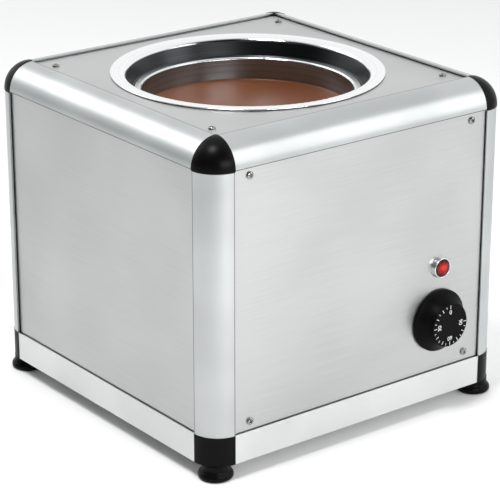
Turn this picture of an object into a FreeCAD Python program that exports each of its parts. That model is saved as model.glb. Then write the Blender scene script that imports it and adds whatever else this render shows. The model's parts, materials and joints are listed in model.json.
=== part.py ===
"""Countertop chocolate melter, in millimetres, +Z up, standing on z = 0.

A square box stands on four levelling feet. Its edges are one rounded aluminium extrusion, used for the
four upright posts and the four top rails, and joined by moulded black corner pieces. Flat base rails
close the bottom edge. Stainless sheets fill the sides and the top. A drawn stainless well hangs through
the top plate, and a loose bowl of chocolate hangs on the ledge inside it. A heater band and wool warm
the well. A thermostat, a pilot lamp, a terminal block and a cable gland make up the electrics.

The front faces -Y and carries the dial. The origin is on the table, under the middle of the box.
"""
import FreeCAD, Part
import math
import os

V = FreeCAD.Vector
ORIGIN = V(0, 0, 0)
X, Y, Z = V(1, 0, 0), V(0, 1, 0), V(0, 0, 1)

# Box
body_width = 330.0
body_depth = 330.0
rail_top = 302.0
edge_radius = 25.0
base_rail_height = 26.5
ground_clearance = 14.5

# Rounded extrusion, shared by posts and top rails
extrusion_wall = 2.0
lip_thickness = 1.2
slot_width = 2.2
slot_depth = 5.5
flange_thickness = 1.6
flange_width = 20.0
flange_end_gap = 0.5

# Base rail
base_wall = 2.0
base_flange_width = 22.0
slot_floor = 2.0

# Sheet metal
sheet = 1.0
sheet_slip = 0.1
sheet_edge_gap = 0.8
tuck_depth = 4.8
tuck_corner_gap = 0.4

# Moulded corner pieces
cap_proud = 0.5
cap_collar = 0.8
spigot_gap = 0.25
spigot_length = 20.0
block_proud = 0.3
block_wall = 3.0
block_boss_radius = 8.5
tongue_length = 20.0
tongue_depth = 12.0
tongue_gap = 0.3

# Levelling feet
foot_inset = 15.5
foot_neck_radius = 12.5
foot_pad_radius = 15.5
foot_pad_edge = 3.0
foot_flare_top = 10.5
foot_seat_gap = 0.3
foot_travel = 10.0
stud_radius = 4.0
stud_engagement = 12.0
stud_tip_chamfer = 0.8
thread_clearance = 0.05

# Screws
screw_head_radius = 3.3
screw_head_height = 2.0
screw_head_edge = 0.9
screw_shank_radius = 1.9
screw_length = 8.0
screw_hole_clearance = 0.25
panel_screw_side = 17.0
panel_screw_top = 7.0
panel_screw_bottom = 8.5
plate_screw_side = 12.0
plate_screw_end = 22.0
base_screw_inset = 13.0
base_screw_end = 49.0

# Well
well_radius = 108.6
wall_lean = 20.0
mouth_bend = 5.2
flange_radius = 123.5
gasket_thickness = 0.5
gasket_inset = 0.8
plate_hole_clearance = 0.5
ledge_bend = 1.5
nose_bend = 0.6
pocket_clearance = 12.0
pocket_corner = 14.0
clip_width = 22.0
clip_reach = 9.0
clip_height = 9.5
clip_thickness = 1.5

# Bowl and chocolate
bowl_radius = 95.5
bowl_rim_radius = 102.0
bowl_rim_drop = 14.5
bowl_side_gap = 2.0
bowl_depth = 176.0
bowl_corner = 30.0
rim_bend = 1.0
chocolate_drop = 21.2
fill_gap = 0.1

# Heater, wool and sensor
heater_thickness = 2.0
heater_gap = 0.3
heater_height = 95.0
heater_rise = 18.0
heater_split = 14.0
heater_split_turn = -20.0
wool_thickness = 12.0
wool_margin = 5.0
wool_top_gap = 4.0
bulb_radius = 3.0
bulb_length = 80.0
bulb_y = -30.0
bulb_clip_width = 14.0
bulb_clip_thickness = 1.0
capillary_radius = 0.9
capillary_offset = 14.0
capillary_drop = 8.0
capillary_straight = 22.0
capillary_sag = 10.0

# Thermostat and knob
control_inset = 75.0
knob_height_above_rail = 48.0
knob_radius = 29.0
knob_rim = 2.0
knob_face_radius = 20.5
knob_face_edge = 1.2
knob_flank_dish = 0.7
knob_projection = 17.0
knob_panel_gap = 0.8
knob_wall = 2.5
knob_hub_radius = 6.5
shaft_radius = 3.0
shaft_flat = 1.2
shaft_clearance = 0.05
shaft_tip_gap = 0.5
shaft_depth = 17.0
thermostat_width = 44.0
thermostat_height = 36.0
thermostat_depth = 32.0
thermostat_corner = 2.0
bracket_thickness = 1.5
thermostat_screw_spacing = 28.0
neck_radius = 5.0
neck_recess = 0.2
blade_thickness = 0.8
blade_width = 6.3
blade_length = 8.0
blade_tail = 2.0
thermostat_blade_offset = 11.0

# Pilot lamp
lamp_above_knob = 51.0
lamp_bezel_radius = 10.0
lamp_bezel_taper = 0.8
lamp_bezel_height = 5.0
lamp_bezel_edge = 0.5
lamp_bezel_floor = 1.5
lamp_lens_radius = 8.2
lamp_lens_crown = 0.8
lamp_body_radius = 6.0
lamp_body_length = 28.0
lamp_blade_offset = 3.0
lamp_nut_width = 17.0
lamp_nut_thickness = 3.0

# Cable gland
gland_inset = 75.0
gland_height_above_rail = 34.0
gland_thread_radius = 8.0
gland_thread_length = 9.0
gland_hex = 22.0
gland_hex_thickness = 5.0
gland_projection = 17.0
gland_bore_radius = 5.0
gland_dome_bend = 5.0
gland_dome_roof = 2.5
seal_bore_radius = 4.0
seal_wall = 1.4
seal_length = 8.0
lock_nut_thickness = 4.0

# Base plate vents
vent_length = 30.0
vent_width = 3.5
vent_pitch = 12.0
vent_count = 7
vent_offset = 60.0

# Terminal block, earth stud and leads
block_offset = 30.0
block_setback = 78.0
terminal_poles = 4
terminal_pitch = 12.0
terminal_depth = 22.0
terminal_height = 16.0
terminal_bore_radius = 2.2
terminal_bore_rise = 6.0
terminal_screw_radius = 2.1
terminal_screw_length = 5.0
terminal_screw_sink = 1.0
terminal_screw_grip = 3.0
terminal_screw_rows = (0.25, 0.75)
earth_offset = 60.0
earth_setback = 57.0
earth_stud_radius = 2.5
earth_stud_length = 12.0
earth_nut_width = 8.0
earth_nut_rise = 2.5
earth_nut_thickness = 4.0
wire_radius = 1.3
lead_entry = 6.0
lead_straight = 22.0
lead_slack = 4.0
run_share = 0.45
rise_shares = (0.33, 0.7)

# Derived planes and centres
half_width = body_width / 2
half_depth = body_depth / 2
corner_x = half_width - edge_radius
corner_y = half_depth - edge_radius
base_top = ground_clearance + base_rail_height
corner_z = rail_top - edge_radius
slot_outer = edge_radius - lip_thickness
slot_inner = slot_outer - slot_width
flange_inner = slot_inner - flange_thickness
sheet_outer = slot_inner + sheet_slip + sheet
panel_recess = edge_radius - sheet_outer
front_face = -(half_depth - panel_recess)
front_inside = front_face + sheet
rear_face = half_depth - panel_recess
rear_inside = rear_face - sheet
plate_top = rail_top - panel_recess
plate_bottom = plate_top - sheet
base_plate_bottom = ground_clearance + base_wall
base_plate_top = base_plate_bottom + sheet
foot_x = half_width - foot_inset
foot_y = half_depth - foot_inset
flange_top = plate_top + gasket_thickness + sheet
mouth_x = well_radius + sheet + mouth_bend
mouth_z = flange_top - sheet - mouth_bend
lean = math.radians(wall_lean)
plate_hole_radius = mouth_x + plate_hole_clearance
bowl_rim_top = plate_top - bowl_rim_drop
bowl_floor = bowl_rim_top - bowl_depth
ledge_top = bowl_rim_top - sheet
pocket_radius = bowl_radius + sheet + bowl_side_gap
pocket_floor = bowl_floor - sheet - pocket_clearance
heater_inner = pocket_radius + sheet + heater_gap
heater_outer = heater_inner + heater_thickness
heater_bottom = pocket_floor + heater_rise
wool_top = ledge_top - sheet - wool_top_gap
bulb_z = pocket_floor - sheet - bulb_radius - fill_gap
control_x = half_width - control_inset
knob_z = base_top + knob_height_above_rail
lamp_z = knob_z + lamp_above_knob
thermostat_back = front_inside + bracket_thickness + thermostat_depth
thermostat_blade_end = thermostat_back + blade_length
thermostat_blade_x = [control_x + side * thermostat_blade_offset for side in (-1, 1)]
lamp_blade_end = front_face + lamp_body_length + blade_length
gland_x = gland_inset - half_width
gland_z = base_top + gland_height_above_rail
block_x = gland_x + block_offset
block_y = rear_inside - block_setback
pole_row = (terminal_poles - 1) * terminal_pitch
pole_x = [block_x - pole_row / 2 + i * terminal_pitch for i in range(terminal_poles)]
pole_z = base_plate_top + terminal_bore_rise
earth_x = block_x + earth_offset
earth_y = rear_inside - earth_setback
screw_hole_radius = screw_shank_radius + screw_hole_clearance

CORNERS = {
    "front_left": (-1, -1),
    "front_right": (1, -1),
    "rear_left": (-1, 1),
    "rear_right": (1, 1),
}


def save(name, *solids):
    """Writes the solids of one sub-part to its STEP file."""
    shape = solids[0] if len(solids) == 1 else Part.makeCompound(list(solids))
    os.makedirs("parts", exist_ok=True)
    shape.exportStep(f"parts/{name}.step")


def box(low, high):
    return Part.makeBox(high.x - low.x, high.y - low.y, high.z - low.z, low)


def cylinder(radius, start, direction, length):
    return Part.makeCylinder(radius, length, start, direction)


def hexagon(across_flats, start, direction, length):
    """A hexagonal prism along the given axis direction."""
    radius = across_flats / math.sqrt(3)
    turns = [math.radians(60 * i) for i in range(7)]
    outline = Part.makePolygon([V(radius * math.cos(t), radius * math.sin(t), 0) for t in turns])
    prism = Part.Face(outline).extrude(Z * length)
    prism.Placement = FreeCAD.Placement(start, FreeCAD.Rotation(Z, direction))
    return prism


def rectangle(x0, y0, x1, y1):
    return Part.Face(Part.makePolygon([V(x0, y0), V(x1, y0), V(x1, y1), V(x0, y1), V(x0, y0)]))


def polygon(points):
    return Part.Face(Part.makePolygon([V(*p) for p in points + points[:1]]))


def polar(centre, radius, degrees):
    """A point of a revolved profile, as radius and height, on a circle about centre."""
    turn = math.radians(degrees)
    return (centre[0] + radius * math.cos(turn), centre[1] + radius * math.sin(turn))


def cap_middle(radius, rise):
    """Height of a spherical cap above its rim, half way out from its axis."""
    sphere = (radius**2 + rise**2) / (2 * rise)
    return math.sqrt(sphere**2 - (radius / 2)**2) - (sphere - rise)


def upright(point):
    """A point of the XZ plane, from its radius and height."""
    return V(point[0], 0, point[1])


def profile_face(steps):
    """A face in the XZ plane. A step is a corner point, or a pair of an arc's middle and end points."""
    edges = []
    here = steps[0]
    for step in steps[1:] + steps[:1]:
        if isinstance(step[0], tuple):
            middle, end = step
            edges.append(Part.Arc(upright(here), upright(middle), upright(end)).toShape())
        else:
            end = step
            if math.dist(here, end) > 1e-7:
                edges.append(Part.makeLine(upright(here), upright(end)))
        here = end
    return Part.Face(Part.Wire(edges))


def turned(steps):
    """A solid of revolution about Z from a profile of radius and height."""
    return profile_face(steps).revolve(ORIGIN, Z, 360)


def turned_on(steps, start, direction):
    """A solid of revolution about an axis through start: heights run along direction."""
    solid = turned(steps)
    solid.Placement = FreeCAD.Placement(start, FreeCAD.Rotation(Z, direction))
    return solid


def quarter_face(radius, inset):
    """The part of a disc that lies in the outer quadrant, kept inset from its two straight sides."""
    far = math.sqrt(radius**2 - inset**2)
    diagonal = -radius * math.sqrt(0.5)
    inner = V(-inset, -inset)
    left, below = V(-far, -inset), V(-inset, -far)
    arc = Part.Arc(left, V(diagonal, diagonal), below).toShape()
    return Part.Face(Part.Wire([Part.makeLine(inner, left), arc, Part.makeLine(below, inner)]))


def swapped(face):
    """The same face with X and Y exchanged."""
    return face.mirror(ORIGIN, V(1, -1, 0))


def chamber_face(gap):
    """The hollow inside the extrusion, shrunk by a gap all round for the spigots that fill it."""
    room = quarter_face(edge_radius - extrusion_wall - gap, extrusion_wall + gap)
    reach = slot_depth + extrusion_wall + gap
    keep_out = rectangle(-reach, -edge_radius, 0, -(flange_inner - gap))
    return room.cut(keep_out).cut(swapped(keep_out))


def extrusion_face():
    """Section of the extrusion about the centre of its rounding, its outside towards -X and -Y."""
    section = quarter_face(edge_radius, 0).cut(chamber_face(0))
    slot = rectangle(-slot_depth, -slot_outer, 1, -slot_inner)
    flange = rectangle(-extrusion_wall, -slot_inner, flange_width, -flange_inner)
    for side in (slot, swapped(slot)):
        section = section.cut(side)
    for side in (flange, swapped(flange)):
        section = section.fuse(side)
    return section.removeSplitter()


def to_corner(shape, sx, sy):
    """Moves a shape made for the front left corner, about the rounding's centre, to a corner of the box."""
    placed = shape.copy()
    if sx > 0:
        placed = placed.mirror(ORIGIN, X)
    if sy > 0:
        placed = placed.mirror(ORIGIN, Y)
    placed.translate(V(sx * corner_x, sy * corner_y, 0))
    return placed


def extruded(face, length):
    return face.extrude(Z * length).Solids[0]


def post_solid():
    """One upright post, its flanges notched at both ends to clear those of the rails."""
    length = corner_z - cap_collar - base_top
    post = extruded(extrusion_face(), length)
    notch = flange_width + flange_end_gap
    far = flange_width + 1
    top_notch = notch - cap_collar
    for low, high in ((0, notch), (length - top_notch, length)):
        post = post.cut(box(V(0, -edge_radius, low), V(far, far, high)))
        post = post.cut(box(V(-edge_radius, 0, low), V(far, far, high)))
    post.translate(Z * base_top)
    return post


def top_rail(along_x):
    """A top rail in the front or left place, running along X or Y."""
    reach = (corner_x if along_x else corner_y) - cap_collar
    rail = extruded(extrusion_face(), 2 * reach)
    rail.translate(Z * -reach)
    if along_x:
        rail.rotate(ORIGIN, Y, 90)
        rail.translate(V(0, -corner_y, corner_z))
        return rail
    rail.rotate(ORIGIN, X, -90)
    notch = flange_width + flange_end_gap - cap_collar
    for end in (-1, 1):
        low, high = sorted((end * reach, end * (reach - notch)))
        rail = rail.cut(box(V(0, low, 0), V(flange_width + 1, high, edge_radius)))
    rail.translate(V(-corner_x, 0, corner_z))
    return rail


def base_rail(along_x):
    """A base rail in the front or left place: a flat face, a slot for the sheet and two flanges."""
    low, high = ground_clearance, base_top
    slot_bottom = high - slot_depth
    floor_bottom = slot_bottom - slot_floor
    out = -half_depth if along_x else -half_width
    inward = out + edge_radius
    section = [
        (out, low),
        (out + base_flange_width, low),
        (out + base_flange_width, low + base_wall),
        (out + base_wall, low + base_wall),
        (out + base_wall, floor_bottom),
        (inward - flange_inner, floor_bottom),
        (inward - flange_inner, high + flange_width),
        (inward - slot_inner, high + flange_width),
        (inward - slot_inner, slot_bottom),
        (inward - slot_outer, slot_bottom),
        (inward - slot_outer, high),
        (out, high),
    ]
    if along_x:
        return polygon([(-corner_x, y, z) for y, z in section]).extrude(X * (2 * corner_x))
    return polygon([(x, -corner_y, z) for x, z in section]).extrude(Y * (2 * corner_y))


def across(solid, along_x):
    """The matching piece on the opposite side of the box."""
    return solid.mirror(ORIGIN, Y if along_x else X)


def screw(start, direction):
    """A pan head screw whose head sits at start and whose shank runs along direction."""
    half_way = cap_middle(screw_head_radius, screw_head_height - screw_head_edge)
    head = [
        (0, 0),
        (screw_head_radius, 0),
        (screw_head_radius, -screw_head_edge),
        ((screw_head_radius / 2, -screw_head_edge - half_way), (0, -screw_head_height)),
    ]
    shank = cylinder(screw_shank_radius, ORIGIN, Z, screw_length)
    solid = turned(head).fuse(shank).removeSplitter()
    solid.Placement = FreeCAD.Placement(start, FreeCAD.Rotation(Z, direction))
    return solid


def drilled(solid, places, radius, direction, length):
    """Cuts a round hole at each place, centred on it and running both ways along direction."""
    for place in places:
        solid = solid.cut(cylinder(radius, place - direction * (length / 2), direction, length))
    return solid


def face_screw_places(y):
    """Corner screws of the front or rear panel, at depth y."""
    heights = (base_top + panel_screw_bottom, corner_z - panel_screw_top)
    x = corner_x - panel_screw_side
    return [V(sx * x, y, z) for sx in (-1, 1) for z in heights]


def plate_screw_places(z):
    x, y = corner_x - plate_screw_side, corner_y - plate_screw_end
    return [V(sx * x, sy * y, z) for sx in (-1, 1) for sy in (-1, 1)]


def base_screw_places(z):
    """Screws of the base plate, two up through each base rail."""
    x, y = half_width - base_screw_inset, half_depth - base_screw_inset
    along_front = [V(sx * (corner_x - base_screw_end), sy * y, z) for sx in (-1, 1) for sy in (-1, 1)]
    along_side = [V(sx * x, sy * (corner_y - base_screw_end), z) for sx in (-1, 1) for sy in (-1, 1)]
    return along_front + along_side


def thermostat_screw_places(y):
    half = thermostat_screw_spacing / 2
    return [V(control_x + side * half, y, knob_z) for side in (-1, 1)]


def screw_holes(solid):
    """Threaded holes for every panel, plate and base screw that meets this frame piece."""
    tapped = screw_shank_radius + thread_clearance
    reach = 4 * screw_length
    for y in (front_inside, rear_inside):
        solid = drilled(solid, face_screw_places(y), tapped, Y, reach)
    solid = drilled(solid, plate_screw_places(plate_bottom), tapped, Z, reach)
    return drilled(solid, base_screw_places(ground_clearance), tapped, Z, 3 * sheet + base_wall)


def corner_cap():
    """Moulded three-way cap: an eighth of a ball with a collar and a spigot for each extrusion."""
    radius = edge_radius + cap_proud
    octant = Part.makeSphere(radius).common(box(V(-radius, -radius, 0), V(0, 0, radius)))
    collar = quarter_face(radius, 0).extrude(Z * -cap_collar)
    spigot = chamber_face(spigot_gap).extrude(Z * -(spigot_length + cap_collar))
    downward = collar.fuse(spigot)
    along_x = downward.mirror(ORIGIN, Z)
    along_x.rotate(ORIGIN, Y, 90)
    along_y = downward.mirror(ORIGIN, Z)
    along_y.rotate(ORIGIN, X, -90)
    cap = octant.fuse([downward, along_x, along_y]).removeSplitter().Solids[0]
    cap.translate(Z * corner_z)
    return cap


def foot_block():
    """Moulded block that holds the post on a spigot, the base rails on tongues and the foot in a boss."""
    radius = edge_radius + block_proud
    shell = quarter_face(radius, 0).extrude(Z * base_rail_height)
    hollow = quarter_face(radius - block_wall, block_wall).extrude(Z * (base_rail_height - block_wall))
    boss_place = V(foot_inset - edge_radius, foot_inset - edge_radius, 0)
    boss = cylinder(block_boss_radius, boss_place, Z, base_rail_height)
    block = shell.cut(hollow).fuse(boss.common(shell))
    spigot = chamber_face(spigot_gap).extrude(Z * (base_rail_height + spigot_length))
    spigot = spigot.cut(box(V(-radius, -radius, 0), V(0, 0, base_rail_height - block_wall)))
    wall_inside = -(edge_radius - base_wall - tongue_gap)
    bottom = base_plate_top - ground_clearance + tongue_gap
    top = base_rail_height - slot_depth - slot_floor - tongue_gap
    tongue = box(V(-block_wall, wall_inside, bottom), V(tongue_length, wall_inside + tongue_depth, top))
    block = block.fuse([spigot, tongue, swapped(tongue)])
    bore = cylinder(stud_radius + thread_clearance, boss_place, Z, base_rail_height + spigot_length)
    block = block.cut(bore).removeSplitter().Solids[0]
    block.translate(Z * ground_clearance)
    return block


def foot():
    """Bell shaped foot with a rounded sole, in one with the stud that screws into the corner block."""
    top = ground_clearance - foot_seat_gap
    flare = foot_flare_top - foot_pad_edge
    grow = foot_pad_radius - foot_neck_radius
    bend = (grow**2 + flare**2) / (4 * grow)
    half_turn = math.degrees(math.asin(flare / 2 / bend)) / 2
    neck_centre = (foot_neck_radius + bend, foot_flare_top)
    pad_centre = (foot_pad_radius - bend, foot_pad_edge)
    waist = (foot_neck_radius + grow / 2, foot_pad_edge + flare / 2)
    sole_centre = (foot_pad_radius - foot_pad_edge, foot_pad_edge)
    tip = ground_clearance + foot_travel + stud_engagement
    return turned([
        (0, 0),
        (sole_centre[0], 0),
        (polar(sole_centre, foot_pad_edge, -45), (foot_pad_radius, foot_pad_edge)),
        (polar(pad_centre, bend, half_turn), waist),
        (polar(neck_centre, bend, 180 + half_turn), (foot_neck_radius, foot_flare_top)),
        (foot_neck_radius, top),
        (stud_radius, top),
        (stud_radius, tip - stud_tip_chamfer),
        (stud_radius - stud_tip_chamfer, tip),
        (0, tip),
    ])


def ring(inner, outer, low, high):
    tube_wall = cylinder(outer, Z * low, Z, high - low)
    return tube_wall.cut(cylinder(inner, Z * low, Z, high - low))


def build_frame():
    """Posts, rails, corner caps, foot blocks and feet."""
    post, cap, block = post_solid(), corner_cap(), foot_block()
    screw_foot = foot()
    for place, (sx, sy) in CORNERS.items():
        save(f"corner_post_{place}", to_corner(post, sx, sy))
        save(f"corner_cap_{place}", to_corner(cap, sx, sy))
        save(f"foot_block_{place}", to_corner(block, sx, sy))
        save(f"foot_{place}", screw_foot.translated(V(sx * foot_x, sy * foot_y, 0)))
    for along_x, names in ((True, ("front", "rear")), (False, ("left", "right"))):
        for kind, rail in (("top_rail", top_rail(along_x)), ("base_rail", base_rail(along_x))):
            for name, solid in zip(names, (rail, across(rail, along_x))):
                save(f"{kind}_{name}", screw_holes(solid))


def face_panel():
    """Front or rear sheet, cut to lie between the lips, at the front."""
    x = corner_x - sheet_edge_gap
    low, high = base_top + sheet_edge_gap, corner_z - sheet_edge_gap
    panel = box(V(-x, front_face, low), V(x, front_inside, high))
    return drilled(panel, face_screw_places(front_face), screw_hole_radius, Y, 4 * sheet)


def side_panel():
    """Left sheet, tucked into the slots on all four sides, its corners cut to clear the corner pieces."""
    y = corner_y + tuck_depth
    low, high = base_top - tuck_depth, corner_z + tuck_depth
    outer = -(half_width - panel_recess)
    panel = box(V(outer, -y, low), V(outer + sheet, y, high))
    top_cut = tuck_depth + cap_collar + tuck_corner_gap
    base_cut = tuck_depth + tuck_corner_gap
    for end in (-1, 1):
        for edge, cut, up in ((high, top_cut, -1), (low, base_cut, 1)):
            y0, y1 = sorted((end * y, end * (y - cut)))
            z0, z1 = sorted((edge, edge + up * cut))
            panel = panel.cut(box(V(outer - 1, y0, z0), V(outer + sheet + 1, y1, z1)))
    return panel


def build_panels():
    front = face_panel()
    rear = across(front, True)
    knob_axis = V(control_x, front_face, knob_z)
    lamp_axis = V(control_x, front_face, lamp_z)
    gland_axis = V(gland_x, rear_face, gland_z)
    front = drilled(front, thermostat_screw_places(front_face), screw_hole_radius, Y, 4 * sheet)
    front = drilled(front, [knob_axis], neck_radius + screw_hole_clearance, Y, 4 * sheet)
    front = drilled(front, [lamp_axis], lamp_body_radius + screw_hole_clearance, Y, 4 * sheet)
    rear = drilled(rear, [gland_axis], gland_thread_radius + screw_hole_clearance, Y, 4 * sheet)
    left = side_panel()
    save("front_panel", front)
    save("rear_panel", rear)
    save("left_panel", left)
    save("right_panel", across(left, False))


def build_top_plate():
    x, y = corner_x - sheet_edge_gap, corner_y - sheet_edge_gap
    plate = box(V(-x, -y, plate_bottom), V(x, y, plate_top))
    plate = plate.cut(cylinder(plate_hole_radius, V(0, 0, plate_bottom), Z, sheet))
    save("top_plate", drilled(plate, plate_screw_places(plate_top), screw_hole_radius, Z, 4 * sheet))


def vent_slot(x, y):
    """A slot with round ends that runs along Y."""
    straight = vent_length - vent_width
    low, high = base_plate_bottom - 1, base_plate_top + 1
    slot = box(V(x - vent_width / 2, y - straight / 2, low), V(x + vent_width / 2, y + straight / 2, high))
    for end in (-1, 1):
        slot = slot.fuse(cylinder(vent_width / 2, V(x, y + end * straight / 2, low), Z, high - low))
    return slot


def build_base_plate():
    """Bottom sheet on the base rails' lower flanges, with two rows of vents and cut corners."""
    x, y = half_width - base_wall - tongue_gap, half_depth - base_wall - tongue_gap
    plate = box(V(-x, -y, base_plate_bottom), V(x, y, base_plate_top))
    for sx, sy in CORNERS.values():
        near_x, near_y = sx * (corner_x - tuck_corner_gap), sy * (corner_y - tuck_corner_gap)
        x0, x1 = sorted((near_x, sx * (x + 1)))
        y0, y1 = sorted((near_y, sy * (y + 1)))
        plate = plate.cut(box(V(x0, y0, base_plate_bottom - 1), V(x1, y1, base_plate_top + 1)))
    columns = [(i - (vent_count - 1) / 2) * vent_pitch for i in range(vent_count)]
    plate = plate.cut([vent_slot(x, y) for x in columns for y in (-vent_offset, vent_offset)])
    places = base_screw_places(base_plate_bottom)
    save("base_plate", drilled(plate, places, screw_shank_radius + thread_clearance, Z, 4 * sheet))


def build_screws():
    front = [screw(p, Y) for p in face_screw_places(front_face)]
    rear = [screw(p, -Y) for p in face_screw_places(rear_face)]
    thermostat = [screw(p, Y) for p in thermostat_screw_places(front_face)]
    top = [screw(p, -Z) for p in plate_screw_places(plate_top)]
    save("panel_screws", *front, *rear, *thermostat, *top)
    save("base_plate_screws", *[screw(p, Z) for p in base_screw_places(ground_clearance)])


def leaning_radius(height, offset):
    """Radius at a height of the line that runs along the well's wall, offset inward from the mouth's bend."""
    return mouth_x - (offset + math.sin(lean) * (mouth_z - height)) / math.cos(lean)


def build_well():
    """Drawn well: a flange, a rolled mouth, a wall that leans in, a ledge for the bowl and a deep pocket."""
    mouth = (mouth_x, mouth_z)
    ledge_z = ledge_top + ledge_bend
    ledge = (leaning_radius(ledge_z, mouth_bend + sheet + ledge_bend), ledge_z)
    mouth_middle, wall_side = 135 - wall_lean / 2, 180 - wall_lean
    ledge_middle = -45 - wall_lean / 2
    nose = (pocket_radius + sheet + nose_bend, ledge_top - sheet - nose_bend)
    corner = (pocket_radius - pocket_corner, pocket_floor + pocket_corner)
    hem = sheet / 2
    hem_middle = (flange_radius, flange_top - hem)
    save("well", turned([
        (0, pocket_floor),
        (corner[0], pocket_floor),
        (polar(corner, pocket_corner, -45), (pocket_radius, corner[1])),
        (pocket_radius, nose[1]),
        (polar(nose, nose_bend + sheet, 135), (nose[0], ledge_top)),
        (ledge[0], ledge_top),
        (polar(ledge, ledge_bend, ledge_middle), polar(ledge, ledge_bend, -wall_lean)),
        polar(mouth, mouth_bend + sheet, wall_side),
        (polar(mouth, mouth_bend + sheet, mouth_middle), (mouth[0], flange_top)),
        (flange_radius - hem, flange_top),
        (hem_middle, (flange_radius - hem, flange_top - sheet)),
        (mouth[0], flange_top - sheet),
        (polar(mouth, mouth_bend, mouth_middle), polar(mouth, mouth_bend, wall_side)),
        polar(ledge, ledge_bend + sheet, -wall_lean),
        (polar(ledge, ledge_bend + sheet, ledge_middle), (ledge[0], ledge_top - sheet)),
        (nose[0], ledge_top - sheet),
        (polar(nose, nose_bend, 135), (pocket_radius + sheet, nose[1])),
        (pocket_radius + sheet, corner[1]),
        (polar(corner, pocket_corner + sheet, -45), (corner[0], pocket_floor - sheet)),
        (0, pocket_floor - sheet),
    ]))
    gasket_outer = flange_radius - gasket_inset
    save("well_gasket", ring(plate_hole_radius, gasket_outer, plate_top, flange_top - sheet))


def build_well_clips():
    """Four bent strips on the well's wall that pull its flange down onto the top plate."""
    low = mouth_z - clip_height
    wall_low, wall_high = [leaning_radius(z, mouth_bend) + fill_gap for z in (low, mouth_z)]
    reach = plate_hole_radius + clip_reach
    strip = polygon([
        (wall_low, -clip_width / 2, low),
        (wall_high, -clip_width / 2, mouth_z),
        (plate_hole_radius, -clip_width / 2, plate_bottom),
        (reach, -clip_width / 2, plate_bottom),
        (reach, -clip_width / 2, plate_bottom - clip_thickness),
        (plate_hole_radius, -clip_width / 2, plate_bottom - clip_thickness),
        (wall_high + clip_thickness, -clip_width / 2, mouth_z - clip_thickness),
        (wall_low + clip_thickness, -clip_width / 2, low),
    ])
    strip = strip.extrude(Y * clip_width)
    clips = []
    for quarter in range(4):
        placed = strip.copy()
        placed.rotate(ORIGIN, Z, 45 + 90 * quarter)
        clips.append(placed)
    save("well_clips", *clips)


def build_bowl():
    """Loose bowl that hangs by its flat rim on the well's ledge."""
    corner = (bowl_radius - bowl_corner, bowl_floor + bowl_corner)
    rim = (bowl_radius + sheet + rim_bend, bowl_rim_top - sheet - rim_bend)
    hem = sheet / 2
    rim_underside = bowl_rim_top - sheet
    save("bowl", turned([
        (0, bowl_floor),
        (corner[0], bowl_floor),
        (polar(corner, bowl_corner, -45), (bowl_radius, corner[1])),
        (bowl_radius, rim[1]),
        (polar(rim, rim_bend + sheet, 135), (rim[0], bowl_rim_top)),
        (bowl_rim_radius - hem, bowl_rim_top),
        ((bowl_rim_radius, bowl_rim_top - hem), (bowl_rim_radius - hem, rim_underside)),
        (rim[0], rim_underside),
        (polar(rim, rim_bend, 135), (bowl_radius + sheet, rim[1])),
        (bowl_radius + sheet, corner[1]),
        (polar(corner, bowl_corner + sheet, -45), (corner[0], bowl_floor - sheet)),
        (0, bowl_floor - sheet),
    ]))


def build_chocolate():
    """Melted chocolate that fills the bowl up to its level."""
    corner = (bowl_radius - bowl_corner, bowl_floor + bowl_corner)
    bend = bowl_corner - fill_gap
    side = bowl_radius - fill_gap
    level = bowl_rim_top - chocolate_drop
    save("melted_chocolate", turned([
        (0, bowl_floor + fill_gap),
        (corner[0], bowl_floor + fill_gap),
        (polar(corner, bend, -45), (side, corner[1])),
        (side, level),
        (0, level),
    ]))


def build_heating():
    """Silicone heater band round the pocket, split where its leads join it, and the wool outside it."""
    band = ring(heater_inner, heater_outer, heater_bottom, heater_bottom + heater_height)
    half_split = heater_split / 2
    split = box(V(0, -half_split, heater_bottom - 1), V(heater_outer + 1, half_split, wool_top))
    split.rotate(ORIGIN, Z, heater_split_turn)
    save("heater_band", band.cut(split))
    wool_inner = heater_outer + heater_gap
    wool_bottom = heater_bottom + wool_margin
    save("insulation_wool", ring(wool_inner, wool_inner + wool_thickness, wool_bottom, wool_top))


def build_sensor():
    """The thermostat's liquid filled bulb and the clip that holds it up against the well's floor."""
    save("sensor_bulb", cylinder(bulb_radius, V(-bulb_length / 2, bulb_y, bulb_z), X, bulb_length))
    inside = bulb_radius + fill_gap
    outside = inside + bulb_clip_thickness
    start = V(-bulb_clip_width / 2, bulb_y, bulb_z)
    end = start + V(bulb_clip_width, 0, pocket_floor - sheet - bulb_z)
    clip = cylinder(outside, start, X, bulb_clip_width)
    clip = clip.common(box(start - V(0, outside, outside), end + V(0, outside, bulb_z - end.z)))
    clip = clip.fuse(box(start - Y * outside, end + Y * outside))
    clip = clip.cut(box(start - Y * inside, end + Y * inside))
    save("sensor_clip", clip.cut(cylinder(inside, start, X, bulb_clip_width)).removeSplitter())


def on_panel(solid):
    """Turns a solid whose axis is +Z outwards from the front panel, about the dial's axis."""
    placed = solid.copy()
    placed.Placement = FreeCAD.Placement(V(control_x, front_face, knob_z), FreeCAD.Rotation(Z, -Y))
    return placed


def d_shape(radius, flat, low, high):
    """A round rod along +Z with one flat side."""
    rod = cylinder(radius, Z * low, Z, high - low)
    return rod.cut(box(V(radius - flat, -radius, low), V(radius, radius, high)))


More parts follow.
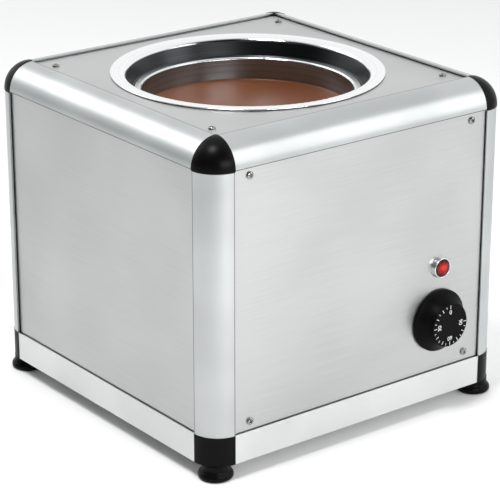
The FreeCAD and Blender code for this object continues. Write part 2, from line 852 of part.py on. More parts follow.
def build_knob():
    """Moulded dial: a thin skirt, a dished flank and a flat face, hollow behind with a bored hub."""
    rim_top = knob_panel_gap + knob_rim
    flank_top = knob_projection - knob_face_edge
    flank_middle = (
        (knob_radius + knob_face_radius) / 2 - knob_flank_dish,
        (rim_top + flank_top) / 2 - knob_flank_dish,
    )
    face_edge = (knob_face_radius - knob_face_edge, flank_top)
    outside = turned([
        (0, knob_panel_gap),
        (knob_radius, knob_panel_gap),
        (knob_radius, rim_top),
        (flank_middle, (knob_face_radius, flank_top)),
        (polar(face_edge, knob_face_edge, 45), (face_edge[0], knob_projection)),
        (0, knob_projection),
    ])
    ceiling = knob_projection - knob_wall
    hollow = turned([
        (knob_hub_radius, knob_panel_gap),
        (knob_radius - knob_wall, knob_panel_gap),
        (knob_face_radius - knob_wall - knob_flank_dish, ceiling),
        (knob_hub_radius, ceiling),
    ])
    bore = d_shape(shaft_radius + shaft_clearance, shaft_flat, knob_panel_gap, ceiling)
    save("thermostat_knob", on_panel(outside.cut(hollow).cut(bore)))


def build_shaft():
    """Thermostat shaft, round in its bearing and flatted inside the knob."""
    tip = knob_projection - knob_wall - shaft_tip_gap
    flatted = d_shape(shaft_radius, shaft_flat, knob_panel_gap, tip)
    round_end = cylinder(shaft_radius, Z * -shaft_depth, Z, shaft_depth + knob_panel_gap)
    save("thermostat_shaft", on_panel(flatted.fuse(round_end).removeSplitter()))


def blade(x, y, z):
    """Push-on blade whose tail is buried in the body that carries it, ending at depth y."""
    low = V(x - blade_thickness / 2, y - blade_length - blade_tail, z - blade_width / 2)
    return box(low, low + V(blade_thickness, blade_length + blade_tail, blade_width))


def build_thermostat():
    """Thermostat body behind the front panel, on a bracket with a neck that guides the shaft."""
    half = V(thermostat_width / 2, 0, thermostat_height / 2)
    centre = V(control_x, front_inside, knob_z)
    seat = centre + Y * bracket_thickness
    neck_start = centre - Y * (sheet - neck_recess)
    bracket = box(centre - half, seat + half)
    bracket = bracket.fuse(cylinder(neck_radius, neck_start, Y, bracket_thickness + sheet - neck_recess))
    body = box(seat - half, seat + half + Y * thermostat_depth)
    body = body.makeFillet(thermostat_corner, [e for e in body.Edges if abs(e.tangentAt(0).y) > 0.9])
    bore = cylinder(shaft_radius + shaft_clearance, neck_start, Y, shaft_depth)
    tapped = screw_shank_radius + thread_clearance
    places = thermostat_screw_places(seat.y)
    save("thermostat_bracket", drilled(bracket.cut(bore), places, tapped, Y, 2 * screw_length))
    body = drilled(body.cut(bore), places, tapped, Y, 2 * screw_length)
    save("thermostat_body", body.cut(thermostat_blades()))


def thermostat_blades():
    return [blade(x, thermostat_blade_end, knob_z) for x in thermostat_blade_x]


def lamp_blades():
    return [blade(control_x + side * lamp_blade_offset, lamp_blade_end, lamp_z) for side in (-1, 1)]


def build_lamp():
    """Pilot lamp: a plated bezel, a domed red lens, the lamp body through the panel and its nut."""
    centre = V(control_x, front_face, lamp_z)
    waist = lamp_body_radius + thread_clearance
    lens_seat = lamp_lens_radius + thread_clearance
    lip = lamp_bezel_radius - lamp_bezel_taper
    lip_middle = ((lip + lens_seat) / 2, lamp_bezel_height)
    lip_height = lamp_bezel_height - lamp_bezel_edge
    save("lamp_bezel", turned_on([
        (waist, 0),
        (lamp_bezel_radius, 0),
        (lamp_bezel_radius, lamp_bezel_edge),
        (lip, lip_height),
        (lip_middle, (lens_seat, lip_height)),
        (lens_seat, lamp_bezel_floor),
        (waist, lamp_bezel_floor),
    ], centre, -Y))
    half_way = lip_height + cap_middle(lamp_lens_radius, lamp_lens_crown)
    save("lamp_lens", turned_on([
        (0, lamp_bezel_floor),
        (lamp_lens_radius, lamp_bezel_floor),
        (lamp_lens_radius, lip_height),
        ((lamp_lens_radius / 2, half_way), (0, lip_height + lamp_lens_crown)),
    ], centre, -Y))
    body = cylinder(lamp_body_radius, centre - Y * lamp_bezel_floor, Y, lamp_body_length + lamp_bezel_floor)
    save("lamp_body", body.cut(lamp_blades()))
    inside = V(control_x, front_inside, lamp_z)
    nut = hexagon(lamp_nut_width, inside, Y, lamp_nut_thickness)
    save("lamp_nut", nut.cut(cylinder(waist, inside, Y, lamp_nut_thickness)))
    save("blade_terminals", *thermostat_blades(), *lamp_blades())


def build_gland():
    """Cable gland through the rear panel, empty, with its seal, dome nut and lock nut."""
    seat = V(gland_x, rear_face, gland_z)
    thread_end = gland_projection - gland_dome_roof
    tail = gland_thread_length
    body = hexagon(gland_hex, seat, Y, gland_hex_thickness)
    body = body.fuse(cylinder(gland_thread_radius, seat - Y * tail, Y, tail + thread_end))
    body = body.cut(cylinder(gland_bore_radius, seat - Y * tail, Y, tail + thread_end))
    pocket = gland_bore_radius + seal_wall
    seal_start = gland_hex_thickness
    body = body.cut(cylinder(pocket, seat + Y * seal_start, Y, thread_end))
    save("gland_body", body.removeSplitter())
    seal_end = seal_start + seal_length
    save("gland_seal", turned_on([
        (seal_bore_radius, seal_start),
        (pocket - thread_clearance, seal_start),
        (pocket - thread_clearance, seal_end - seal_wall),
        (pocket - seal_wall, seal_end),
        (seal_bore_radius, seal_end),
    ], seat, Y))
    dome_radius = gland_hex / 2
    cavity = gland_thread_radius + thread_clearance
    shoulder = (dome_radius - gland_dome_bend, gland_projection - gland_dome_bend)
    save("gland_dome_nut", turned_on([
        (cavity, gland_hex_thickness),
        (dome_radius, gland_hex_thickness),
        (dome_radius, shoulder[1]),
        (polar(shoulder, gland_dome_bend, 45), (shoulder[0], gland_projection)),
        (gland_bore_radius, gland_projection),
        (gland_bore_radius, thread_end + fill_gap),
        (cavity, thread_end + fill_gap),
    ], seat, Y))
    inside = V(gland_x, rear_inside, gland_z)
    nut = hexagon(gland_hex, inside, -Y, lock_nut_thickness)
    save("gland_lock_nut", nut.cut(cylinder(cavity, inside, -Y, lock_nut_thickness)))


def rounded_path(points):
    """A wire of straight runs joined by tangent arcs, each as large as its two runs allow."""
    edges = []
    start = points[0]
    for before, corner, after in zip(points, points[1:], points[2:]):
        back, ahead = before - corner, after - corner
        trim = run_share * min(back.Length, ahead.Length)
        back.normalize()
        ahead.normalize()
        half = back.getAngle(ahead) / 2
        inward = (back + ahead).normalize()
        middle = corner + inward * (trim / math.cos(half) - trim * math.tan(half))
        first, last = corner + back * trim, corner + ahead * trim
        edges.append(Part.makeLine(start, first))
        edges.append(Part.Arc(first, middle, last).toShape())
        start = last
    edges.append(Part.makeLine(start, points[-1]))
    return Part.Wire(edges)


def tube(points, radius):
    """A round solid of constant radius along a rounded path."""
    heading = (points[1] - points[0]).normalize()
    section = Part.Wire(Part.makeCircle(radius, points[0], heading))
    return rounded_path(points).makePipeShell([section], True, False)


def build_terminal_block():
    """Terminal block on the base plate, a row of clamps that each take one lead from the front."""
    size = V(terminal_poles * terminal_pitch, terminal_depth, terminal_height)
    low = V(block_x - size.x / 2, block_y, base_plate_top)
    block = box(low, low + size)
    screws = []
    for x in pole_x:
        block = block.cut(cylinder(terminal_bore_radius, V(x, block_y, pole_z), Y, terminal_depth))
        for row in terminal_screw_rows:
            mouth = V(x, block_y + row * terminal_depth, base_plate_top + terminal_height)
            tapped = terminal_screw_radius + thread_clearance
            block = block.cut(cylinder(tapped, mouth, -Z, terminal_screw_length))
            top = mouth - Z * terminal_screw_sink
            screws.append(cylinder(terminal_screw_radius, top, -Z, terminal_screw_grip))
    save("terminal_block", block)
    save("terminal_screws", *screws)


def build_earth_stud():
    """Earth stud on the base plate, with its nut."""
    foot = V(earth_x, earth_y, base_plate_top)
    nut = hexagon(earth_nut_width, foot + Z * earth_nut_rise, Z, earth_nut_thickness)
    bore = cylinder(earth_stud_radius + thread_clearance, foot, Z, earth_stud_length)
    save("earth_stud", cylinder(earth_stud_radius, foot, Z, earth_stud_length), nut.cut(bore))


def band_end(side):
    """Where a lead meets the lower edge of the heater band, on one side of its split."""
    turn = math.radians(heater_split_turn) + side * (heater_split / 2 + wire_radius * 2) / heater_outer
    radius = heater_outer - wire_radius / 2
    return V(radius * math.cos(turn), radius * math.sin(turn), heater_bottom)


def rising(leave, meet):
    """Points between the straight ends of a lead, which lies low at first and then rises."""
    run = meet - leave
    return [leave + V(run.x * share, run.y * share, run.z * share**2) for share in rise_shares]


def build_leads():
    """Insulated leads that join the terminal block, thermostat, lamp, heater and earth stud."""
    entry = [V(x, block_y + lead_entry, pole_z) for x in pole_x]
    out = [V(x, block_y - lead_straight, pole_z) for x in pole_x]
    contact = V(thermostat_blade_x[0], thermostat_blade_end, knob_z)
    switched = V(thermostat_blade_x[1], thermostat_blade_end, knob_z)
    lamp = V(control_x - lamp_blade_offset, lamp_blade_end, lamp_z)
    earth = V(earth_x, earth_y - earth_nut_width / 2, base_plate_top + earth_nut_rise + wire_radius)
    near, far = band_end(-1), band_end(1)
    contact_out, switched_out = contact + Y * lead_straight, switched + Y * lead_straight
    lamp_out, earth_out = lamp + Y * lead_straight, earth - Y * lead_straight
    near_out, far_out = near - Z * lead_straight, far - Z * lead_straight
    lamp_foot = V(lamp.x, lamp_out.y, knob_z)
    slack = (switched_out + near_out) * 0.5 - Z * lead_slack
    earth_turn = V((out[3].x + earth.x) / 2, out[3].y, pole_z)
    routes = [
        [entry[0], out[0], *rising(out[0], contact_out), contact_out, contact],
        [entry[1], out[1], *rising(out[1], lamp_foot), lamp_foot, lamp_out, lamp],
        [entry[2], out[2], *rising(out[2], far_out), far_out, far],
        [entry[3], out[3], earth_turn, earth_out, earth],
        [switched, switched_out, slack, near_out, near],
    ]
    save("wiring_leads", *[tube(route, wire_radius) for route in routes])


def build_capillary():
    """Thin copper tube from the sensor bulb to the back of the thermostat, sagging on its way."""
    start = V(bulb_length / 2, bulb_y, bulb_z)
    end = V(control_x + capillary_offset, thermostat_back, knob_z - capillary_drop)
    sag = V(end.x, bulb_y - 2 * capillary_straight, end.z - capillary_sag)
    route = [start, start + X * capillary_straight, sag, end + Y * capillary_straight, end]
    save("capillary_tube", tube(route, capillary_radius))


def main():
    build_frame()
    build_panels()
    build_top_plate()
    build_base_plate()
    build_screws()
    build_well()
    build_well_clips()
    build_bowl()
    build_chocolate()
    build_heating()
    build_sensor()
    build_capillary()
    build_knob()
    build_shaft()
    build_thermostat()
    build_lamp()
    build_gland()
    build_terminal_block()
    build_earth_stud()
    build_leads()


main()
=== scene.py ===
import json
import math

import bmesh
import bpy
from mathutils import Matrix, Vector


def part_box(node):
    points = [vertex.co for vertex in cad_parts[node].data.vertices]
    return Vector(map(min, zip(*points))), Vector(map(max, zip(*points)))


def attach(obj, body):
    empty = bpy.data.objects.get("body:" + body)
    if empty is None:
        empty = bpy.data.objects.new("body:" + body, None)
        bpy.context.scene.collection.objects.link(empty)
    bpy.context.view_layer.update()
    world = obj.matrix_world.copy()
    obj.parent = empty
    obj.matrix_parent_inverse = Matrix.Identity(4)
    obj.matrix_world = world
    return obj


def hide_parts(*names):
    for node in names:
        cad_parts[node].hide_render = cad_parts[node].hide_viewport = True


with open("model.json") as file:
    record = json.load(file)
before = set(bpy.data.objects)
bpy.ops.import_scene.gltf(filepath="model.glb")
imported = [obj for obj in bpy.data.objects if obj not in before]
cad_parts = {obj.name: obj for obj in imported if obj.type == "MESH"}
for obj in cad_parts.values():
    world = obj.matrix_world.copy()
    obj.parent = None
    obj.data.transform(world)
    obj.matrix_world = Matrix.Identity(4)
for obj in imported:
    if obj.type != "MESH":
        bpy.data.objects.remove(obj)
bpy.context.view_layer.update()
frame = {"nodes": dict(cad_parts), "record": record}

MM = 0.001
scene = bpy.context.scene
scene.view_settings.view_transform = "Standard"

# Sizes of the part that the looks line up with, in millimetres: the dial's and the lamp's axis on the front,
# the outer faces of the side sheets and the top plate, the slots that hold the sheets, and the heights down
# to which the well and the bowl are polished, below which their walls get a painted dark reflection
DIAL_ACROSS, DIAL_HEIGHT, LAMP_HEIGHT = 90, 89, 140
SHEET_OUT, PLATE_TOP = 162.7, 299.7
SLOT_OUT, SLOT_HEIGHT = 140, 277
WELL_PAINTED_DARK_TOP, BOWL_PAINTED_DARK_TOP = 298.0, 284.1

DIAL_X, DIAL_Z, LAMP_Z = DIAL_ACROSS * MM, DIAL_HEIGHT * MM, LAMP_HEIGHT * MM
PANEL_Y = -SHEET_OUT * MM
DIAL_FACE_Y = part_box("thermostat_knob")[0].y
LENS_RADIUS = 8.2 * MM

# Turns what is drawn flat, seen from above, to face the front
FACING_FRONT = Matrix(((1, 0, 0), (0, 0, -1), (0, 1, 0))).to_4x4()


# Node helpers

def colour(code):
    """An sRGB hex code as linear red, green, blue and alpha."""
    parts = [int(code[i:i + 2], 16) / 255 for i in (1, 3, 5)]
    return [c / 12.92 if c <= 0.04045 else ((c + 0.055) / 1.055) ** 2.4 for c in parts] + [1]


def put(tree, kind, sockets=None, **settings):
    """Adds a node with its settings. sockets gives each input a value or another node's output."""
    node = tree.nodes.new("ShaderNode" + kind)
    for name, value in settings.items():
        setattr(node, name, value)
    for name, value in (sockets or {}).items():
        if isinstance(value, bpy.types.NodeSocket):
            tree.links.new(value, node.inputs[name])
        else:
            node.inputs[name].default_value = value
    return node


def finish_of(name, **shader):
    """A new material with one Principled shader. Returns it, its tree, the shader and a point's place."""
    made = bpy.data.materials.new(name)
    made.use_nodes = True
    tree = made.node_tree
    surface = tree.nodes["Principled BSDF"]
    for socket, value in shader.items():
        surface.inputs[socket.replace("_", " ")].default_value = value
    return made, tree, surface, put(tree, "TexCoord").outputs["Object"]


def calculate(tree, operation, *values):
    """One step of arithmetic on numbers."""
    return put(tree, "Math", dict(enumerate(values)), operation=operation).outputs["Value"]


def calculate_vector(tree, operation, *values, result="Vector"):
    """One step of arithmetic on vectors, which gives a vector or, with result "Value", a number."""
    return put(tree, "VectorMath", dict(enumerate(values)), operation=operation).outputs[result]


def noise(tree, place, size, detail, **more):
    """Smooth noise with patches of about size millimetres."""
    sockets = {"Vector": place, "Scale": 1 / (size * MM), "Detail": detail, **more}
    return put(tree, "TexNoise", sockets).outputs["Fac"]


def ramp(tree, factor, first, last, *between):
    """A colour that runs through stops, each (position, hex code), as factor rises."""
    made = put(tree, "ValToRGB", {"Fac": factor})
    stops = made.color_ramp.elements
    stops[0].position, stops[0].color = first[0], colour(first[1])
    stops[1].position, stops[1].color = last[0], colour(last[1])
    for position, code in between:
        stops.new(position).color = colour(code)
    return made.outputs["Color"]


def mix_colours(tree, factor, first, second):
    """first where factor is 0 and second where it is 1."""
    return put(tree, "Mix", {"Factor": factor, 6: first, 7: second}, data_type="RGBA").outputs[2]


def vary_gloss(tree, surface, factor, dull, start=0.3, end=0.7):
    """Runs the roughness through the two values of dull as factor goes from start to end."""
    sockets = {"Value": factor, "From Min": start, "From Max": end, "To Min": dull[0], "To Max": dull[1]}
    rough = put(tree, "MapRange", sockets).outputs["Result"]
    tree.links.new(rough, surface.inputs["Roughness"])
    return rough


def emboss(tree, surface, height, strength, depth):
    """Shades the surface as if it had a relief, depth millimetres deep, at a share of its full strength."""
    relief = put(tree, "Bump", {"Height": height, "Strength": strength, "Distance": depth * MM})
    tree.links.new(relief.outputs["Normal"], surface.inputs["Normal"])


# Camera and studio

def aim_camera():
    """Stands the camera at the front left corner, a long lens two metres off, looking down a little."""
    turn, tilt = math.radians(-37.59), math.radians(20.66)
    middle = Vector((0, 0, 0.1595))
    distance, aside, below = 2.03139, 0.00202, 0.02954
    back = Vector((math.sin(turn) * math.cos(tilt), -math.cos(turn) * math.cos(tilt), math.sin(tilt)))
    right = Vector((math.cos(turn), math.sin(turn), 0))
    up = back.cross(right)
    lens = bpy.data.cameras.new("long_lens")
    lens.lens, lens.sensor_width = 159.11, 36
    lens.clip_start, lens.clip_end = 0.05, 60
    camera = bpy.data.objects.new("camera", lens)
    camera.location = middle + back * distance + right * aside - up * below
    camera.rotation_mode = "QUATERNION"
    camera.rotation_quaternion = Matrix((right, up, back)).transposed().to_quaternion()
    scene.collection.objects.link(camera)
    scene.camera = camera


def hang_softbox(name, place, target, width, height, watts):
    """A soft rectangular lamp at place, turned to shine on target."""
    lamp = bpy.data.lights.new(name, "AREA")
    lamp.shape, lamp.size, lamp.size_y, lamp.energy = "RECTANGLE", width, height, watts
    holder = bpy.data.objects.new(name, lamp)
    holder.location = place
    holder.rotation_mode = "QUATERNION"
    holder.rotation_quaternion = (Vector(target) - Vector(place)).to_track_quat("-Z", "Y")
    scene.collection.objects.link(holder)


def paint_room():
    """The room is white overhead and behind the object, and dark on the camera's side, so that the flat metal
    mirrors white and the deep polished walls mirror the dark. Seen directly, it is white all round."""
    white, dark = "#FAFBFB", "#151617"
    world = bpy.data.worlds.new("white_studio")
    world.use_nodes = True
    tree = world.node_tree
    sky = tree.nodes["Background"]
    toward = put(tree, "TexCoord").outputs["Generated"]
    facing = calculate_vector(tree, "DOT_PRODUCT", toward, (-0.60, -0.78, -0.35), result="Value")
    side = put(tree, "MapRange", {"Value": facing, "From Min": -0.38, "From Max": 0.08}).outputs["Result"]
    mirrored = ramp(tree, side, (0, white), (1, dark))
    seen = put(tree, "LightPath").outputs["Is Camera Ray"]
    tree.links.new(mix_colours(tree, seen, mirrored, colour(white)), sky.inputs["Color"])
    sky.inputs["Strength"].default_value = 1.15
    scene.world = world


def lay_floor():
    """A wide sheet of white paper, with a faint cloud of fibres in its tone."""
    half = 9.0
    floor_mesh = bpy.data.meshes.new("floor")
    corners = [(-half, -half, 0), (half, -half, 0), (half, half, 0), (-half, half, 0)]
    floor_mesh.from_pydata(corners, [], [(0, 1, 2, 3)])
    floor = bpy.data.objects.new("floor", floor_mesh)
    scene.collection.objects.link(floor)
    paper, tree, surface, place = finish_of("white_paper_sweep", Roughness=0.7, Specular_IOR_Level=0.2)
    fibre = put(tree, "TexNoise", {"Vector": place, "Scale": 3.0, "Detail": 2.0}).outputs["Fac"]
    tree.links.new(ramp(tree, fibre, (0, "#F6F6F6"), (1, "#FAFAFA")), surface.inputs["Base Color"])
    floor.data.materials.append(paper)


def light_studio():
    """White room, paper floor and four soft lamps."""
    paint_room()
    hang_softbox("key_softbox", (-0.60, -0.22, 1.70), (-0.05, -0.05, 0.2), 0.45, 0.45, 16)
    hang_softbox("floor_softbox", (-0.10, -1.05, 0.50), (0.05, -0.50, 0), 0.6, 0.2, 5)
    hang_softbox("right_softbox", (1.30, -1.62, 1.05), (0, 0, 0.25), 1.1, 1.8, 15)
    hang_softbox("rear_softbox", (-1.05, 2.20, 1.95), (0, 0, 0.2), 1.6, 1.6, 17)
    lay_floor()


# Metals

def brushed_stainless(name, along, shade):
    """Brushed stainless sheet: fine parallel scratches along one axis, which streak its soft reflections.
    The real scratches are 0.1 mm apart and too fine to show, so they are drawn 1.1 mm apart."""
    made, tree, surface, place = finish_of(name, Metallic=1.0)
    across, length = 1 / (1.1 * MM), 1 / (70 * MM)
    stretch = [length if axis == along else across for axis in "xyz"]
    lines = put(tree, "Mapping", {"Vector": place, "Scale": stretch}).outputs["Vector"]
    strokes = {"Vector": lines, "Scale": 1.0, "Detail": 3.0, "Roughness": 0.6}
    scratch = put(tree, "TexNoise", strokes).outputs["Fac"]
    cloud = noise(tree, place, size=90, detail=1.0)
    vary_gloss(tree, surface, scratch, dull=(0.30, 0.42))
    half = calculate(tree, "MULTIPLY", calculate(tree, "ADD", scratch, cloud), 0.5)
    tree.links.new(ramp(tree, half, (0.38, shade[0]), (0.62, shade[1])), surface.inputs["Base Color"])
    emboss(tree, surface, scratch, strength=0.12, depth=0.1)
    return made


def satin_anodised_aluminium(name, shade, painted_slot_shade=False):
    """Etched and anodised aluminium extrusion: an even, silky grey with a broad soft highlight and a faint
    grain of etched pits. The pits are drawn 1 mm wide, as the real ones are too fine to show. When asked,
    it paints a fine dark line of shade into the colour beside the sheets' slots, where the rounded lip falls
    into shade."""
    made, tree, surface, place = finish_of(name, Metallic=1.0)
    pits = noise(tree, place, size=1.0, detail=2.0)
    cloud = noise(tree, place, size=60, detail=1.0)
    vary_gloss(tree, surface, pits, dull=(0.30, 0.38))
    skin = ramp(tree, cloud, (0.35, shade[0]), (0.65, shade[1]))
    if painted_slot_shade:
        # Paints a fine dark line of shade into the colour beside the slots
        skin = mix_colours(tree, slot_shade_mask(tree, place), skin, colour("#565858"))
    tree.links.new(skin, surface.inputs["Base Color"])
    emboss(tree, surface, pits, strength=0.10, depth=0.08)
    return made


def slot_shade_mask(tree, place):
    """1 on the fine line of painted shade beside the slots that hold the sheets, and 0 elsewhere."""
    line_middle, line_half_width = 0.45 * MM, 0.30 * MM
    slots = (SLOT_OUT * MM, SLOT_OUT * MM, SLOT_HEIGHT * MM)
    across = calculate_vector(tree, "ABSOLUTE", place)
    away = calculate_vector(tree, "ABSOLUTE", calculate_vector(tree, "SUBTRACT", across, slots))
    three = put(tree, "SeparateXYZ", {"Vector": away}).outputs
    nearest = calculate(tree, "MINIMUM", calculate(tree, "MINIMUM", three["X"], three["Y"]), three["Z"])
    return calculate(tree, "COMPARE", nearest, line_middle, line_half_width)


def turned_metal(name, shade, dull, pitch, strength, centre=(0, 0, 0), axis="z", wall=None):
    """Metal spun or turned about an axis: faint rings and turning lines, pitch millimetres apart. wall gives
    the height in millimetres below which the metal's colour is darkened into a painted dark reflection, and
    the two shades of that painted reflection; there its roughness is 0.30."""
    made, tree, surface, place = finish_of(name, Metallic=1.0)
    moved = calculate_vector(tree, "SUBTRACT", place, centre)
    along = put(tree, "SeparateXYZ", {"Vector": moved}).outputs
    flat = {"x": (0, 1, 1), "y": (1, 0, 1), "z": (1, 1, 0)}[axis]
    radial = calculate_vector(tree, "MULTIPLY", moved, flat)
    out = calculate_vector(tree, "LENGTH", radial, result="Value")
    reach = calculate(tree, "ADD", out, along[axis.upper()])
    turning = {"W": reach, "Scale": 1 / (pitch * MM), "Detail": 3.0}
    rings = put(tree, "TexNoise", turning, noise_dimensions="1D").outputs["Fac"]
    smear = noise(tree, place, size=25, detail=2.0)
    gloss = vary_gloss(tree, surface, smear, dull)
    skin = ramp(tree, rings, (0.35, shade[0]), (0.65, shade[1]))
    if wall:
        # Below the given height the colour is a painted dark reflection, standing in for the dark
        # surroundings the deep wall mirrors
        height, fade, dark_wall_roughness = wall[0] * MM, 1.0 * MM, 0.30
        edge = {"Value": along["Z"], "From Min": height - fade, "From Max": height}
        polished = put(tree, "MapRange", edge).outputs["Result"]
        drawn = ramp(tree, rings, (0.35, wall[1]), (0.65, wall[2]))
        skin = mix_colours(tree, polished, drawn, skin)
        sheen = put(tree, "Mix", {"Factor": polished, 2: dark_wall_roughness, 3: gloss}, data_type="FLOAT")
        tree.links.new(sheen.outputs[0], surface.inputs["Roughness"])
    tree.links.new(skin, surface.inputs["Base Color"])
    emboss(tree, surface, rings, strength, depth=0.1)
    return made


def spangled_zinc():
    """Hot dip galvanised steel: overlapping crystal patches, each a slightly different grey."""
    made, tree, surface, place = finish_of("spangled_zinc", Metallic=1.0)
    crystals = put(tree, "TexVoronoi", {"Vector": place, "Scale": 1 / (7 * MM)}).outputs["Color"]
    grey = put(tree, "SeparateColor", {"Color": crystals}).outputs
    tree.links.new(ramp(tree, grey["Red"], (0, "#A4A8AA"), (1, "#C0C4C6")), surface.inputs["Base Color"])
    vary_gloss(tree, surface, grey["Green"], dull=(0.35, 0.55), start=0, end=1)
    return made


# Plastics, rubber and the rest

def moulded_plastic(name, shade, dull, grain, strength, sheen=0.5):
    """Injection moulded plastic: a fine spark eroded grain, grain millimetres across, softens its gloss. A
    higher strength makes the grain plainer, and a lower sheen leaves less of a shine on black."""
    made, tree, surface, place = finish_of(name, IOR=1.5, Specular_IOR_Level=sheen)
    pits = noise(tree, place, grain, detail=3.0, Roughness=0.6)
    cloud = noise(tree, place, size=14, detail=2.0)
    vary_gloss(tree, surface, cloud, dull)
    tree.links.new(ramp(tree, pits, (0.3, shade[0]), (0.7, shade[1])), surface.inputs["Base Color"])
    emboss(tree, surface, pits, strength, depth=0.05)
    return made


def loose_mineral_wool():
    """Mineral wool: matted yellow grey fibres with a rough, shadowed surface."""
    made, tree, surface, place = finish_of("loose_mineral_wool", Roughness=0.95, Sheen_Weight=0.3)
    thick, long = 1 / (2 * MM), 1 / (9 * MM)
    drawn = put(tree, "Mapping", {"Vector": place, "Scale": (thick, thick, long)}).outputs["Vector"]
    matted = {"Vector": drawn, "Scale": 1.0, "Detail": 5.0, "Distortion": 1.5}
    fibres = put(tree, "TexNoise", matted).outputs["Fac"]
    tree.links.new(ramp(tree, fibres, (0, "#9C8F63"), (1, "#DCD2A8")), surface.inputs["Base Color"])
    emboss(tree, surface, fibres, strength=0.8, depth=1.0)
    return made


def melted_milk_chocolate():
    """Melted milk chocolate: warm brown, opaque and fatty, so it is glossy with soft blurred reflections.
    Slow swirls from stirring tint it, and a faint swell bends what it mirrors."""
    fatty = {"Subsurface_Weight": 0.15, "Subsurface_Scale": 2 * MM, "Subsurface_Radius": (1.0, 0.35, 0.2),
             "Coat_Weight": 0.15, "Coat_Roughness": 0.15}
    made, tree, surface, place = finish_of("melted_milk_chocolate", IOR=1.46, **fatty)
    swirl = noise(tree, place, size=60, detail=1.0, Distortion=0.6)
    tree.links.new(ramp(tree, swirl, (0.3, "#693A1E"), (0.7, "#744122")), surface.inputs["Base Color"])
    vary_gloss(tree, surface, swirl, dull=(0.32, 0.40), start=0, end=1)
    swell = noise(tree, place, size=18, detail=1.0)
    emboss(tree, surface, swell, strength=0.10, depth=0.4)
    return made


def red_lamp_lens():
    """Clear red moulded lens over a neon, its glow painted into the colour: brightest where the lamp sits
    behind its middle, deep red at the rim, with 2.4 mm prisms moulded on its back, each catching the painted
    glow a little differently."""
    made, tree, surface, place = finish_of("red_lamp_lens", IOR=1.49, Roughness=0.08, Specular_IOR_Level=0.2)
    moved = calculate_vector(tree, "SUBTRACT", place, (DIAL_X, 0, LAMP_Z))
    flat = calculate_vector(tree, "MULTIPLY", moved, (1, 0, 1))
    out = calculate_vector(tree, "LENGTH", flat, result="Value")
    share = calculate(tree, "DIVIDE", out, LENS_RADIUS)
    prisms = put(tree, "TexVoronoi", {"Vector": flat, "Scale": 1 / (2.4 * MM)}).outputs["Color"]
    catch = put(tree, "SeparateColor", {"Color": prisms}).outputs["Red"]
    offset = put(tree, "MapRange", {"Value": catch, "To Min": -0.22, "To Max": 0.22}).outputs["Result"]
    glow = calculate(tree, "ADD", share, offset)
    # The lens's colour is a painted glow, brighter in the middle, and the same colour is also given off
    # faintly
    tone = ramp(tree, glow, (0.08, "#CE2C1C"), (0.86, "#2C0508"), (0.50, "#8E1012"))
    tree.links.new(tone, surface.inputs["Base Color"])
    tree.links.new(tone, surface.inputs["Emission Color"])
    surface.inputs["Emission Strength"].default_value = 0.06
    return made


def printed_white():
    """Pad printed white ink: thin, matt and a little uneven where the black shows through."""
    made, tree, surface, place = finish_of("pad_printed_white_ink", Roughness=0.6)
    cover = noise(tree, place, size=0.6, detail=2.0)
    tree.links.new(ramp(tree, cover, (0.25, "#A3A3A0"), (0.55, "#DCDCD8")), surface.inputs["Base Color"])
    return made


# Pieces

def place_piece(name, mesh, body, finish, smooth=True):
    """Links a mesh into the scene under a name, with its finish, riding on a body."""
    piece = bpy.data.objects.new(name, mesh)
    scene.collection.objects.link(piece)
    mesh.materials.append(finish)
    for polygon in mesh.polygons:
        polygon.use_smooth = smooth
    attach(piece, body)
    return piece


def mesh_of(name, bm):
    """Closes a bmesh into a mesh with its faces turned outward."""
    bmesh.ops.recalc_face_normals(bm, faces=bm.faces)
    mesh = bpy.data.meshes.new(name)
    bm.to_mesh(mesh)
    bm.free()
    return mesh


def lathe(bm, profile, turns):
    """Spins a profile of (radius, height) about +Z into bm. A radius of 0 closes on the axis."""
    rows = []
    for radius, height in profile:
        if radius == 0:
            rows.append([bm.verts.new((0, 0, height))] * turns)
            continue
        angles = [2 * math.pi * i / turns for i in range(turns)]
        rows.append([bm.verts.new((radius * math.cos(a), radius * math.sin(a), height)) for a in angles])
    for low, high in zip(rows, rows[1:]):
        for i in range(turns):
            j = (i + 1) % turns
            corners = [low[i], low[j], high[j], high[i]]
            corners = [v for k, v in enumerate(corners) if v not in corners[:k]]
            if len(corners) > 2:
                bm.faces.new(corners)


def screw_blank_mesh():
    """A pan head screw without its cross: head above 0, shank with a chamfered tip below."""
    head_radius, head_edge, head_height = 3.3, 0.9, 2.0
    shank_radius, tip_radius, length, tip_start = 1.9, 1.6, 8, 7.4
    bow = 1.1
    crown = [(head_radius * math.cos(t) ** 0.9, head_edge + bow * math.sin(t))
             for t in map(math.radians, range(15, 76, 15))]
    shank = [(0, -length), (tip_radius, -length), (shank_radius, -tip_start), (shank_radius, 0)]
    profile = shank + [(head_radius, 0), (head_radius, head_edge)] + crown + [(0, head_height)]
    bm = bmesh.new()
    lathe(bm, [(r * MM, h * MM) for r, h in profile], 32)
    return mesh_of("screw_blank", bm)


def cross_punch_mesh():
    """Two crossed tapered blades, which cut the recess for a cross head driver."""
    wide, narrow, floor, above = 2.05 * MM, 0.45 * MM, 0.7 * MM, 2.6 * MM
    taper_along, taper_across = 0.45, 0.9
    square = ((-1, -1), (1, -1), (1, 1), (-1, 1))
    bm = bmesh.new()
    for a, b in ((wide, narrow), (narrow, wide)):
        low_a = a * (taper_along if a > b else taper_across)
        low_b = b * (taper_along if b > a else taper_across)
        top = [bm.verts.new((x * a, y * b, above)) for x, y in square]
        low = [bm.verts.new((x * low_a, y * low_b, floor)) for x, y in square]
        bm.faces.new(top)
        bm.faces.new(low[::-1])
        for i in range(4):
            j = (i + 1) % 4
            bm.faces.new((top[i], low[i], low[j], top[j]))
    return mesh_of("cross_punch", bm)


